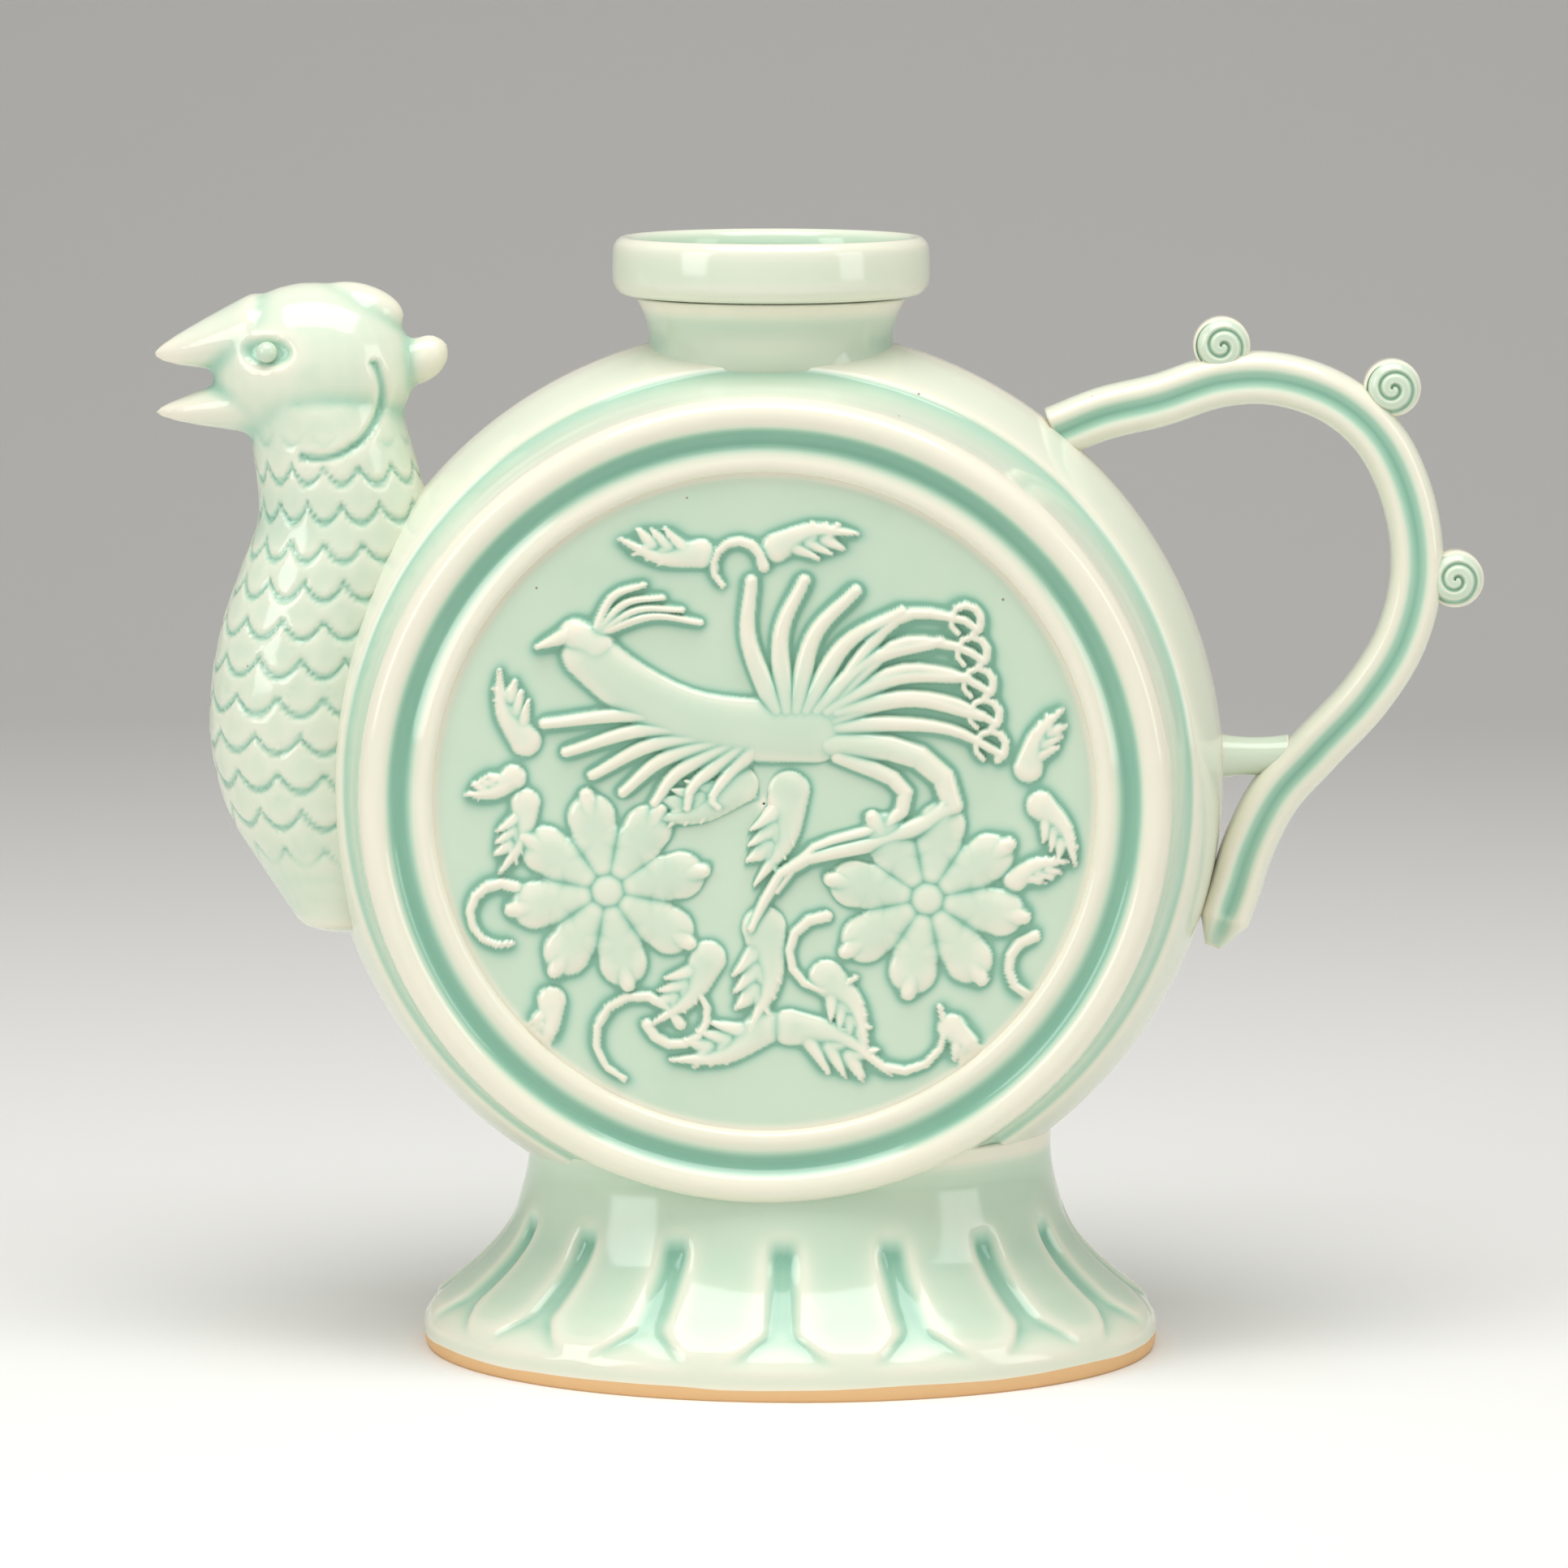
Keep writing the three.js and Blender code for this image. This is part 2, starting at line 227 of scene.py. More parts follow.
# %% The glaze's values
GLAZE_ROUGHNESS = 0.11
GLAZE_IOR = 1.5
GLAZE_THINNEST = linear("#EAE6D3")
GLAZE_THICKEST = linear("#86B79F")
GLAZE_BETWEEN = ((0.3, "#DCE2CE"), (0.5, "#C6D9C3"), (0.72, "#A9CDB6"))
CLOUDS_PER_METRE = 55.0  # a cloud is about 18 mm wide
CLOUD_REACH = 0.34  # of a full pool, half of it each way
RIPPLES_PER_METRE = 160.0  # about 6 mm from crest to crest
RIPPLE_METRES = 0.0006
PIN_CELLS_PER_METRE = 95.0  # one pin hole to a cell of about 10 mm
PIN_REACH = 0.022  # of a cell, so a pin hole is at most about 0.5 mm across
PIN_COLOUR = linear("#9A8F72")


# %% [markdown]
# The bottom edge of the foot is bare biscuit clay, fired orange and dull, because glaze there
# would stick to the kiln's shelf. The glaze ends in a line that wavers a little.

# %% Biscuit clay
BISCUIT_COLOUR = linear("#E3B985")
BISCUIT_ROUGHNESS = 0.75
BISCUIT_LOWEST = 0.0012  # metres above the table
BISCUIT_WAVER = 0.0022
WAVERS_PER_METRE = 30.0  # about 33 mm from crest to crest


def bare_edge(tree, place, colour, shader):
    height = node(tree, "ShaderNodeSeparateXYZ", Vector=place)
    wave = node(tree, "ShaderNodeTexNoise", {"Scale": WAVERS_PER_METRE}, Vector=place)
    line = node(tree, "ShaderNodeMath", {"operation": "MULTIPLY_ADD", 1: BISCUIT_WAVER,
                                         2: BISCUIT_LOWEST}, i0=wave.outputs["Fac"])
    bare = node(tree, "ShaderNodeMath", {"operation": "LESS_THAN"},
                i0=height.outputs["Z"], i1=line.outputs[0])
    dullness = node(tree, "ShaderNodeMapRange", {"To Min": GLAZE_ROUGHNESS,
                                                 "To Max": BISCUIT_ROUGHNESS},
                    Value=bare.outputs[0])
    tree.links.new(dullness.outputs[0], shader.inputs["Roughness"])
    return mix_colour(tree, bare.outputs[0], colour, BISCUIT_COLOUR)


# %% Glaze materials
def celadon_glaze(name, biscuit_edge=False):
    material = bpy.data.materials.new(name)
    material.use_nodes = True
    tree = material.node_tree
    shader = tree.nodes["Principled BSDF"]
    shader.inputs["Roughness"].default_value = GLAZE_ROUGHNESS
    shader.inputs["IOR"].default_value = GLAZE_IOR
    place = node(tree, "ShaderNodeTexCoord").outputs["Object"]
    depth = node(tree, "ShaderNodeAttribute", {"attribute_name": "glaze_depth"})
    clouds = node(tree, "ShaderNodeTexNoise", {"Scale": CLOUDS_PER_METRE, "Detail": 3.0},
                  Vector=place)
    drift = node(tree, "ShaderNodeMath", {"operation": "MULTIPLY_ADD", 1: CLOUD_REACH,
                                          2: -CLOUD_REACH / 2}, i0=clouds.outputs["Fac"])
    depth_sum = node(tree, "ShaderNodeMath", {"operation": "ADD"},
                     i0=depth.outputs["Fac"], i1=drift.outputs[0])
    share = node(tree, "ShaderNodeMapRange", {"From Min": -1.0, "From Max": 1.0},
                 Value=depth_sum.outputs[0])
    ramp = node(tree, "ShaderNodeValToRGB", Fac=share.outputs[0])
    stops = ramp.color_ramp.elements
    stops[0].position, stops[0].color = 0.0, GLAZE_THINNEST
    stops[1].position, stops[1].color = 1.0, GLAZE_THICKEST
    for position, code in GLAZE_BETWEEN:
        stops.new(position).color = linear(code)
    pins = node(tree, "ShaderNodeTexVoronoi", {"Scale": PIN_CELLS_PER_METRE}, Vector=place)
    in_pin = node(tree, "ShaderNodeMath", {"operation": "LESS_THAN", 1: PIN_REACH},
                  i0=pins.outputs["Distance"])
    colour = mix_colour(tree, in_pin.outputs[0], ramp.outputs["Color"], PIN_COLOUR)
    ripple = node(tree, "ShaderNodeTexNoise", {"Scale": RIPPLES_PER_METRE, "Detail": 2.0},
                  Vector=place)
    bump = node(tree, "ShaderNodeBump", {"Strength": 0.05, "Distance": RIPPLE_METRES},
                Height=ripple.outputs["Fac"])
    tree.links.new(bump.outputs[0], shader.inputs["Normal"])
    if biscuit_edge:
        colour = bare_edge(tree, place, colour, shader)
    tree.links.new(colour, shader.inputs["Base Color"])
    return material


glaze = celadon_glaze("celadon_glaze_over_stoneware")
foot_glaze = celadon_glaze("celadon_glaze_with_biscuit_edge", biscuit_edge=True)
print("materials", glaze.name, foot_glaze.name)


# %% [markdown]
# Every piece ends the same way: it gets its glaze depth and its glaze, rides on the one rigid
# body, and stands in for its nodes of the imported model.

# %% Finishing a piece
def finish_piece(piece, replaced, material=glaze, passes=30, scale_mm=0.5):
    set_glaze_depth(piece, passes, scale_mm)
    piece.data.materials.append(material)
    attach(piece, "root")
    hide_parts(*replaced)
    print(piece.name, "faces", len(piece.data.polygons))


# %% [markdown]
# The drum was pressed in two moulds. Its section is one smooth line turned about the axis: the
# recess of the relief disc, a lip, a green cove, a thick rolled bead, a groove, the sharp arris
# and the swollen rim. Each half is a closed shell with its own wall, and a whole ring: it has no
# cut where the neck stands on it.

# %% The drum's section, as distance from the axis and half depth
FLOOR_HALF_DEPTH = 29.6
HALF_JOINT = 0.15  # half of the joint between the two halves
DRUM_WALL = 4.2
DRUM_SECTION = [
    (0, FLOOR_HALF_DEPTH), (51.5, FLOOR_HALF_DEPTH), (52.6, 30.2), (53.2, 32.0), (54.4, 32.6),
    (55.6, 32.2), (57.6, 31.2), (59.2, 31.6), (60.6, 33.0), (62.0, 33.5), (63.6, 33.0),
    (64.6, 31.4), (65.0, 29.4), (65.6, 26.0), (66.6, 21.6), (68.0, 18.4), (69.2, 17.6),
    (71.2, 13.2), (73.0, 7.6), (73.8, 3.2), (74.0, HALF_JOINT),
]
DRUM_INSIDE = [
    (DRUM_RADIUS - DRUM_WALL, HALF_JOINT), (64.0, 13.8), (57.8, FLOOR_HALF_DEPTH - DRUM_WALL),
    (0, FLOOR_HALF_DEPTH - DRUM_WALL),
]

# %% The drum
DRUM_TURNS = 360
OUTSIDE_RINGS, INSIDE_RINGS = 190, 24
drum_turn = full_turn(DRUM_TURNS)


def turn_about_axis(section, side):
    rings = [np.column_stack([AXIS_X + r * np.cos(drum_turn), np.full(DRUM_TURNS, side * y),
                              AXIS_Z + r * np.sin(drum_turn)]) for r, y in section]
    return np.vstack(rings)


def drum_half(name, side, node_name):
    outside = spline(DRUM_SECTION, OUTSIDE_RINGS)
    outside[:, 0] *= DRUM_RADIUS / outside[-1, 0]
    section = np.vstack([outside, spline(DRUM_INSIDE, INSIDE_RINGS)])
    section[:, 0] = np.maximum(section[:, 0], 0)
    faces = grid_faces(len(section), DRUM_TURNS)
    piece = make_piece(name, turn_about_axis(section, side), faces)
    finish_piece(piece, [node_name], passes=60, scale_mm=0.45)


drum_half("drum_front", -1, "front_body_half")
drum_half("drum_back", 1, "back_body_half")

# %% [markdown]
# The relief disc shows a bird in flight among blossoms, a traditional ornament. It is drawn as
# strokes of clay: each stroke is a line with a width, and the disc rises where a stroke is near.
# Places are in millimetres from the middle of the disc, to the right and up.

# %% Strokes of clay
STROKE_POINTS = 14
CURL_POINTS = 9
CURL_END_WIDTH = 0.5
strokes = []


def step_from(start, turn, distance):
    return (start[0] + distance * math.cos(turn), start[1] + distance * math.sin(turn))


def stroke(points, width, end_width=0.4, height=1.0):
    strokes.append((spline(points, STROKE_POINTS), width, end_width, height))


def curl(centre, radius, start, sweep, width, height):
    """An open ring of clay. Start and sweep are in degrees."""
    turns = np.radians(start + np.linspace(0, sweep, CURL_POINTS))
    line = [step_from(centre, turn, radius) for turn in turns]
    strokes.append((np.array(line), width, CURL_END_WIDTH, height))


# %% Leaves and blossoms
LEAF_BEND = 0.25  # radians
LOBE_LEANS = (-38, 38)
PETAL_PARTS = ((0.25, 0.7, 0.17, 1.35), (0.5, 0.92, 0.24, 0.3))


def leaf(base, direction, length, width):
    """A bent midrib with three pairs of lobes. The direction is in degrees."""
    turn = math.radians(direction)
    tip = step_from(base, turn, length)
    bend = step_from(base, turn + LEAF_BEND, 0.5 * length)
    stroke([base, bend, tip], width, 0.3, 0.8)
    for share in (0.2, 0.4, 0.6):
        start = (base[0] + share * (tip[0] - base[0]), base[1] + share * (tip[1] - base[1]))
        for lean in LOBE_LEANS:
            reach = length * (0.42 - 0.28 * share)
            end = step_from(start, math.radians(direction + lean), reach)
            stroke([start, end], width * 0.62, 0.3, 0.7)


def blossom(centre, radius, petals, turn):
    """Petals in a ring round a bud. Each has a slim root and a wide blade."""
    for k in range(petals):
        lean = math.radians(turn + 360 * k / petals)
        for inner, outer, width, end_share in PETAL_PARTS:
            root = step_from(centre, lean, inner * radius)
            tip = step_from(centre, lean, outer * radius)
            stroke([root, tip], width * radius, width * radius * end_share, 1.0)
    stroke([centre, (centre[0] + 0.1, centre[1])], radius * 0.2, radius * 0.2, 1.2)


blossom((-25, -14), 17, 8, 12)
blossom((26, -15), 17, 8, 34)

# %% The bird in the relief
FEATHER_BEND_AT = 12


def wing_feather(root, lean, bend, reach, width, end_width, height):
    middle = step_from(root, lean + bend, FEATHER_BEND_AT)
    tip = (root[0] + reach * math.cos(lean), root[1] + (reach - 2) * math.sin(lean))
    stroke([root, middle, tip], width, end_width, height)


# breast and neck, head, beak, then the crest
stroke([(-28, 24), (-22, 19), (-13, 14), (-3, 12), (8, 12)], 4.2, 5.4, 1.2)
stroke([(-27, 25), (-30, 27)], 3.4, 2.6, 1.3)
stroke([(-31, 27), (-36, 25)], 1.6, 0.4, 1.2)
for k in range(4):
    stroke([(-27, 27), (-24 + 2 * k, 33 - k), (-19 + 3 * k, 35 - 2 * k)], 1.0, 0.5, 0.9)
# the raised wing, the lowered wing and the tail, whose five feathers end in curls
for k in range(7):
    wing_feather((2 + 1.6 * k, 15), math.radians(100 - 17 * k), 0.2, 23, 1.9, 1.0, 1.1)
for k in range(7):
    wing_feather((-8 + 1.3 * k, 11), math.radians(176 + 11 * k), -0.2, 27 - 2 * k, 1.8, 0.9, 1.0)
for k in range(5):
    stroke([(8, 12), (20, 13 + 4 * k), (30, 12 + 4.5 * k), (38 - k, 8 + 5 * k)], 1.8, 0.7, 1.0)
    curl((36 - k, 9.5 + 5 * k), 2.4, -60, 300, 0.8, 0.9)
# two long tail feathers that trail down between the blossoms
stroke([(10, 10), (24, 8), (30, 0), (18, -6), (4, -10), (-2, -20)], 2.4, 0.8, 1.1)
stroke([(12, 8), (22, 3), (20, -3), (8, -7), (2, -14)], 1.6, 0.6, 0.9)

# %% Leaves and tendrils round the bird
# each leaf has its base, direction in degrees, length and width
LEAVES = [
    ((-4, 3), 200, 16, 3.2), ((4, 2), 250, 16, 3.4), ((0, -20), 262, 17, 3.6),
    ((-9, -25), 230, 14, 3.0), ((10, -28), 300, 13, 3.0), ((0, -36), 200, 16, 3.0),
    ((4, -36), 335, 18, 3.0), ((-38, 10), 110, 12, 2.6), ((-40, 4), 200, 8, 2.2),
    ((-38, 0), 250, 12, 2.4), ((42, 6), 60, 11, 2.4), ((44, 0), 300, 11, 2.4),
    ((40, -12), 20, 9, 2.0), ((-34, -32), 250, 10, 2.4), ((30, -36), 300, 10, 2.4),
    ((-10, 40), 170, 13, 2.4), ((2, 41), 10, 13, 2.4),
]
# each tendril has its middle, radius and start in degrees
TENDRILS = [
    ((-20, -38), 7, 20), ((22, -36), 7, 160), ((-42, -18), 5, 60), ((44, -26), 5, 100),
    ((-4, 38), 4, 0), ((10, -24), 6, 90), ((-14, -34), 5, 200),
]
TENDRIL_SWEEP = 230
for base, direction, length, width in LEAVES:
    leaf(base, direction, length, width)
for centre, radius, start in TENDRILS:
    curl(centre, radius, start, TENDRIL_SWEEP, 1.0, 0.7)
print("strokes in the ornament", len(strokes))


# %% [markdown]
# A stroke's section is half an ellipse. Where strokes cross, the higher one shows, as it does
# where clay is laid on clay.

# %% Height of the ornament
def ornament_height(x, z):
    height = np.zeros_like(x)
    for line, width, end_width, rise in strokes:
        low, high = line.min(0) - width - end_width, line.max(0) + width + end_width
        near = (x > low[0]) & (x < high[0]) & (z > low[1]) & (z < high[1])
        px, pz = x[near], z[near]
        best = np.zeros_like(px)
        for k in range(len(line) - 1):
            a, run = line[k], line[k + 1] - line[k]
            t = np.clip(((px - a[0]) * run[0] + (pz - a[1]) * run[1]) / (run @ run + 1e-9), 0, 1)
            share = (k + t) / (len(line) - 1)
            half = width + (end_width - width) * share
            gap = np.hypot(px - a[0] - t * run[0], pz - a[1] - t * run[1])
            best = np.maximum(best, rise * np.sqrt(np.clip(1 - (gap / half) ** 2, 0, 1)))
        height[near] = np.maximum(height[near], best)
    return height


# %% [markdown]
# A disc was pressed in a mould of its own and set into the drum's recess. It is a polar grid,
# fine enough for the thinnest stroke, closed behind by a flat back.

# %% Two relief discs
RELIEF_MM = 1.35  # a stroke of height 1
RELIEF_FADE = 3  # the relief dies away this far from the disc's edge
FACE_OVER_BACK = 1.1
DISC_TURNS, DISC_RINGS = 720, 190
DISC_INNERMOST = 0.2
BACK_INNERMOST = 0.003  # of the disc's radius
ring_radii = np.linspace(DISC_INNERMOST, DISC_RADIUS, DISC_RINGS)
grid_radius, grid_turn = np.meshgrid(ring_radii, full_turn(DISC_TURNS), indexing="ij")
disc_x, disc_z = grid_radius * np.cos(grid_turn), grid_radius * np.sin(grid_turn)
edge_fade = smooth_step(DISC_RADIUS, DISC_RADIUS - RELIEF_FADE, grid_radius)
lift = RELIEF_MM * ornament_height(disc_x, disc_z) * edge_fade


def relief_disc(name, side, node_name):
    face = DISC_BACK + FACE_OVER_BACK + lift
    shown_x = disc_x if side < 0 else -disc_x
    front = np.column_stack([
        (AXIS_X + shown_x).ravel(), (side * face).ravel(), (AXIS_Z + disc_z).ravel()])
    edge = front[-DISC_TURNS:].copy()
    edge[:, 1] = side * DISC_BACK
    middle = edge.copy()
    middle[:, 0] = AXIS_X + (edge[:, 0] - AXIS_X) * BACK_INNERMOST
    middle[:, 2] = AXIS_Z + (edge[:, 2] - AXIS_Z) * BACK_INNERMOST
    faces = grid_faces(DISC_RINGS + 2, DISC_TURNS, wrap_rows=True)
    piece = make_piece(name, np.vstack([front, edge, middle]), faces)
    finish_piece(piece, [node_name], passes=26, scale_mm=0.16)


relief_disc("relief_front", -1, "front_medallion")
relief_disc("relief_back", 1, "back_medallion")


# %% [markdown]
# Neck, cup and foot were thrown or pressed and are stacks of ovals. A ring gives the half width
# and half depth at a height; going up the outside and down the inside makes a closed wall.

# %% Stacked ovals
def oval_wall(name, centre_x, rings, count, shape=None):
    turn = full_turn(count)
    points = []
    for row in rings:
        swell = shape(turn, row) if shape else np.zeros(count)
        points.append(np.column_stack([centre_x + (row[0] + swell) * np.cos(turn),
                                       (row[1] + swell) * np.sin(turn), np.full(count, row[2])]))
    return make_piece(name, np.vstack(points), grid_faces(len(rings), count, wrap_rows=True))


# %% The neck
NECK_WALL = 4.4
NECK_OUTSIDE = [
    (38, 17.2, neck_low[2]), (30.5, 17.6, 156), (25, 18.3, 159.5), (21.4, 19.1, 163),
    (19.9, 19.8, 166), (20.4, 20.4, 169.5), (22, 22, neck_high[2]),
]
neck_rings = spline(NECK_OUTSIDE, count=60)
neck_inside = neck_rings[::-1] - np.array([NECK_WALL, NECK_WALL, 0])
neck = oval_wall("neck_glazed", AXIS_X, np.vstack([neck_rings, neck_inside]), count=160)
finish_piece(neck, ["neck"], passes=40)

# %% The cup
CUP_BASE, CUP_TOP = cup_low[2], cup_high[2]
CUP_SECTION = [
    (15, CUP_BASE), (19, CUP_BASE), (23.6, CUP_BASE + 0.1), (25.2, CUP_BASE + 1.2),
    (CUP_RADIUS, CUP_BASE + 3), (CUP_RADIUS - 0.1, CUP_TOP - 2), (CUP_RADIUS - 0.8, CUP_TOP - 0.5),
    (CUP_RADIUS - 1.9, CUP_TOP), (CUP_RADIUS - 3.0, CUP_TOP - 0.6), (22.1, CUP_TOP - 2),
    (21.6, CUP_BASE + 5), (20, CUP_BASE + 3.2), (15.4, CUP_BASE + 2.8),
]
cup_line = spline(CUP_SECTION, count=110)
cup_height = np.clip(cup_line[:, 1], CUP_BASE, CUP_TOP)
cup_rings = np.column_stack([cup_line[:, 0], cup_line[:, 0], cup_height])
cup = oval_wall("cup_glazed", AXIS_X, cup_rings, count=200)
finish_piece(cup, ["mouth_collar"], passes=50)

# %% [markdown]
# The foot is a flared oval with a ring of lotus petals pressed into its slope. Between two petals
# the clay is lower, so glaze pools there.

# %% Lotus petals
PETALS = 16
PETAL_DEPTH = 1.15
PETAL_SOFTNESS = 0.3
PETAL_LOWEST, PETAL_HIGHEST = 4.5, 25


def petals(turn, row):
    """How far the outside is pressed in between petals. The inside has none."""
    height, outside = row[2], row[3] > 0.5
    if not outside:
        return np.zeros_like(turn)
    band = float(smooth_step(PETAL_LOWEST, 9, height) * smooth_step(PETAL_HIGHEST, 20, height))
    across = np.abs(np.mod(turn * PETALS / (2 * math.pi), 1) - 0.5) * 2
    # a petal fills most of its share of the ring and narrows towards its lower tip
    width = 0.92 - 0.5 * float(smooth_step(11, 5, height))
    return band * PETAL_DEPTH * (smooth_step(width, width - PETAL_SOFTNESS, across) - 1)


# %% The foot
FOOT_WALL = 6
FOOT_LIP_WALL = 5.6
FOOT_DRAWN_IN, FOOT_DRAWN_IN_DEEP = 17.6, 14  # from the edge to the top, across and deep
FOOT_SECTION = [
    (0.6, 0), (0.1, 1.2), (0, 3), (0.1, 5), (1.2, 7.4), (3.4, 9.4), (7.2, 12.4), (11, 16),
    (14, 20), (16, 25), (17.4, 31), (FOOT_DRAWN_IN, foot_high[2]),
]
foot_line = spline(FOOT_SECTION, count=90)
foot_rings = [
    (FOOT_HALF_WIDTH - d, FOOT_HALF_DEPTH - d * FOOT_DRAWN_IN_DEEP / FOOT_DRAWN_IN, z, 1.0)
    for d, z in foot_line]
foot_rings += [(a - FOOT_WALL, b - FOOT_WALL, z, 0.0) for a, b, z, _ in foot_rings[::-4]]
foot_rings += [(FOOT_HALF_WIDTH - FOOT_LIP_WALL, FOOT_HALF_DEPTH - FOOT_LIP_WALL, 0.0, 0.0)]
foot = oval_wall("foot_glazed", FOOT_X, np.array(foot_rings), count=480, shape=petals)
finish_piece(foot, ["foot"], material=foot_glaze, passes=40, scale_mm=0.4)

# %% [markdown]
# The bird is soft and rounded, so it is built from ovals that run into each other. A list of
# points and faces is grown with numpy, because adding balls one by one to a mesh gets slow.

# %% Ovals for the bird
BALL_ROWS, BALL_TURNS = 21, 32
POLE_GAP = 0.02  # radians, so that the last ring isn't a point
half_turn = math.pi / 2 - POLE_GAP
ball_up = np.linspace(-half_turn, half_turn, BALL_ROWS)[:, None]
ball_turn = full_turn(BALL_TURNS)[None, :]
ball = np.stack([np.cos(ball_up) * np.cos(ball_turn), np.cos(ball_up) * np.sin(ball_turn),
                 np.sin(ball_up) * np.ones_like(ball_turn)], axis=-1).reshape(-1, 3)
ball_bottom, ball_top = end_faces(BALL_ROWS, BALL_TURNS)
ball_faces = grid_faces(BALL_ROWS, BALL_TURNS) + [ball_bottom[::-1], ball_top]
bird_points, bird_faces = [], []


def add_oval(centre, half, turn=0.0):
    """Places are in millimetres from the drum's axis, the table and the middle."""
    x, y, z = (ball * np.array(half)).T
    first = len(bird_points) * len(ball)
    bird_points.append(np.column_stack([
        centre[0] + AXIS_X + x * math.cos(turn) + z * math.sin(turn), centre[1] + y,
        centre[2] + z * math.cos(turn) - x * math.sin(turn)]))
    bird_faces.extend(tuple(first + k for k in face) for face in ball_faces)


# %% Breast, head, crest, tuft and beak
SLICE_HALF_HEIGHT = 3.2
BEAK_SLICES = 22
BEAK_TIP_SHARE = 0.12  # the tip's size against the root's
# each station has its front, back, height and half depth
BREAST = [
    (-78.5, -62, 72, 13), (-84, -58, 80, 15.2), (-89, -56, 88, 16.5), (-91.6, -56, 96, 16.9),
    (-92.4, -56, 105, 16.9), (-90.8, -55, 117, 16), (-86.8, -54, 129, 14.3), (-84, -55, 137, 13),
    (-84.6, -58, 147, 12.5), (-86, -60, 155, 12),
]


def add_beak(tip, root, half_depth, half_height):
    for share in np.linspace(0, 1, BEAK_SLICES):
        size = BEAK_TIP_SHARE + (1 - BEAK_TIP_SHARE) * share**0.75
        middle = [tip[k] + (root[k] - tip[k]) * share for k in range(3)]
        add_oval(middle, (1.5 + 2 * share, half_depth * size, half_height * size))


for front, back, height, half_depth in spline(BREAST, count=60):
    add_oval(((front + back) / 2, 0, height), ((back - front) / 2, half_depth, SLICE_HALF_HEIGHT))
add_oval((-74.5, 0, 161), (16.5, 12, 14.2))  # head
add_oval((-67, 0, 171.2), (7.5, 4.6, 3.9), 0.25)  # crest
add_oval((-57, 0, 162.6), (5, 3.6, 3.6), -0.6)  # tuft on the nape
add_beak((-99.6, 0, 163.4), (-84, 0, 167), 8.5, 6.5)
add_beak((-99.4, 0, 154), (-84, 0, 155.6), 8, 5)
bird_mesh = bpy.data.meshes.new("bird_spout")
bird_mesh.from_pydata((np.vstack(bird_points) * MM).tolist(), [], bird_faces)
bird = link_object("bird_spout", bird_mesh)
print("ovals in the bird", len(bird_points))


# %% [markdown]
# The ovals are remeshed into one closed skin with voxels smaller than any detail, then smoothed,
# as a wet finger would.

# %% One skin for the bird
def fuse(piece, voxel_mm, smoothing):
    remesh = piece.modifiers.new("skin", "REMESH")
    remesh.mode = "VOXEL"
    remesh.voxel_size = voxel_mm * MM
    soften = piece.modifiers.new("soften", "SMOOTH")
    soften.factor = 0.5
    soften.iterations = smoothing
    graph = bpy.context.evaluated_depsgraph_get()
    mesh = bpy.data.meshes.new_from_object(piece.evaluated_get(graph))
    piece.modifiers.clear()
    piece.data = mesh
    mesh.polygons.foreach_set("use_smooth", [True] * len(mesh.polygons))


fuse(bird, voxel_mm=0.7, smoothing=8)
print("faces in the bird's skin", len(bird.data.polygons))

# %% [markdown]
# Feathers, eye hollows and a line round the cheek are pressed into the skin, as a tool would do
# in soft clay: each is a depth by which the skin moves in along its own normal.

# %% Lines pressed into the bird
FEATHER_ROW = 6.2  # from row to row
FEATHER_DEGREES = 26  # the width of a feather, seen from the middle of the breast
FEATHER_DEPTH, EYE_DEPTH, CHEEK_DEPTH = 0.5, 1.0, 0.7
FEATHERS_FROM, FEATHERS_TO = 80, 152  # heights, and the rows fade over 6 mm at both ends
BREAST_X = -72
EYE_X, EYE_Z = -81, 164.5
CHEEK_X, CHEEK_Z, CHEEK_RADIUS = -73, 158, 10.5


def feather_rows(x, y, z):
    around = np.degrees(np.arctan2(np.abs(y), -(x - BREAST_X))) / FEATHER_DEGREES
    row = np.floor(z / FEATHER_ROW)
    across = np.mod(around + 0.5 * np.mod(row, 2), 1) - 0.5
    along = z / FEATHER_ROW - row
    edge = np.abs(along - 0.12 - 1.9 * across**2)
    on_body = (smooth_step(FEATHERS_FROM, FEATHERS_FROM + 6, z)
               * smooth_step(FEATHERS_TO, FEATHERS_TO - 6, z))
    return FEATHER_DEPTH * on_body * smooth_step(0.16, 0.0, edge)


def eye_hollow(x, y, z):
    eye = np.hypot((x - EYE_X) / 5.2, (z - EYE_Z) / 3.0)
    return EYE_DEPTH * smooth_step(1.0, 0.55, eye) * (np.abs(y) > 5)


def cheek_line(x, z):
    cheek = np.abs(np.hypot(x - CHEEK_X, z - CHEEK_Z) - CHEEK_RADIUS)
    return CHEEK_DEPTH * smooth_step(1.1, 0.0, cheek) * (x > -76) * (z < 163) * (z > 146)


# %% Press them into the skin
def press(piece, depth_at):
    mesh = piece.data
    count = len(mesh.vertices)
    place = np.empty(count * 3)
    normal = np.empty(count * 3)
    mesh.vertices.foreach_get("co", place)
    mesh.vertices.foreach_get("normal", normal)
    place, normal = place.reshape(-1, 3), normal.reshape(-1, 3)
    x, y, z = place[:, 0] / MM - AXIS_X, place[:, 1] / MM, place[:, 2] / MM
    place -= normal * (depth_at(x, y, z) * MM)[:, None]
    mesh.vertices.foreach_set("co", place.ravel())
    mesh.update()


def bird_grooves(x, y, z):
    return feather_rows(x, y, z) + eye_hollow(x, y, z) + cheek_line(x, z)


press(bird, bird_grooves)
finish_piece(bird, ["spout_near_half", "spout_far_half", "head_crest", "nape_tuft"],
             passes=24, scale_mm=0.4)

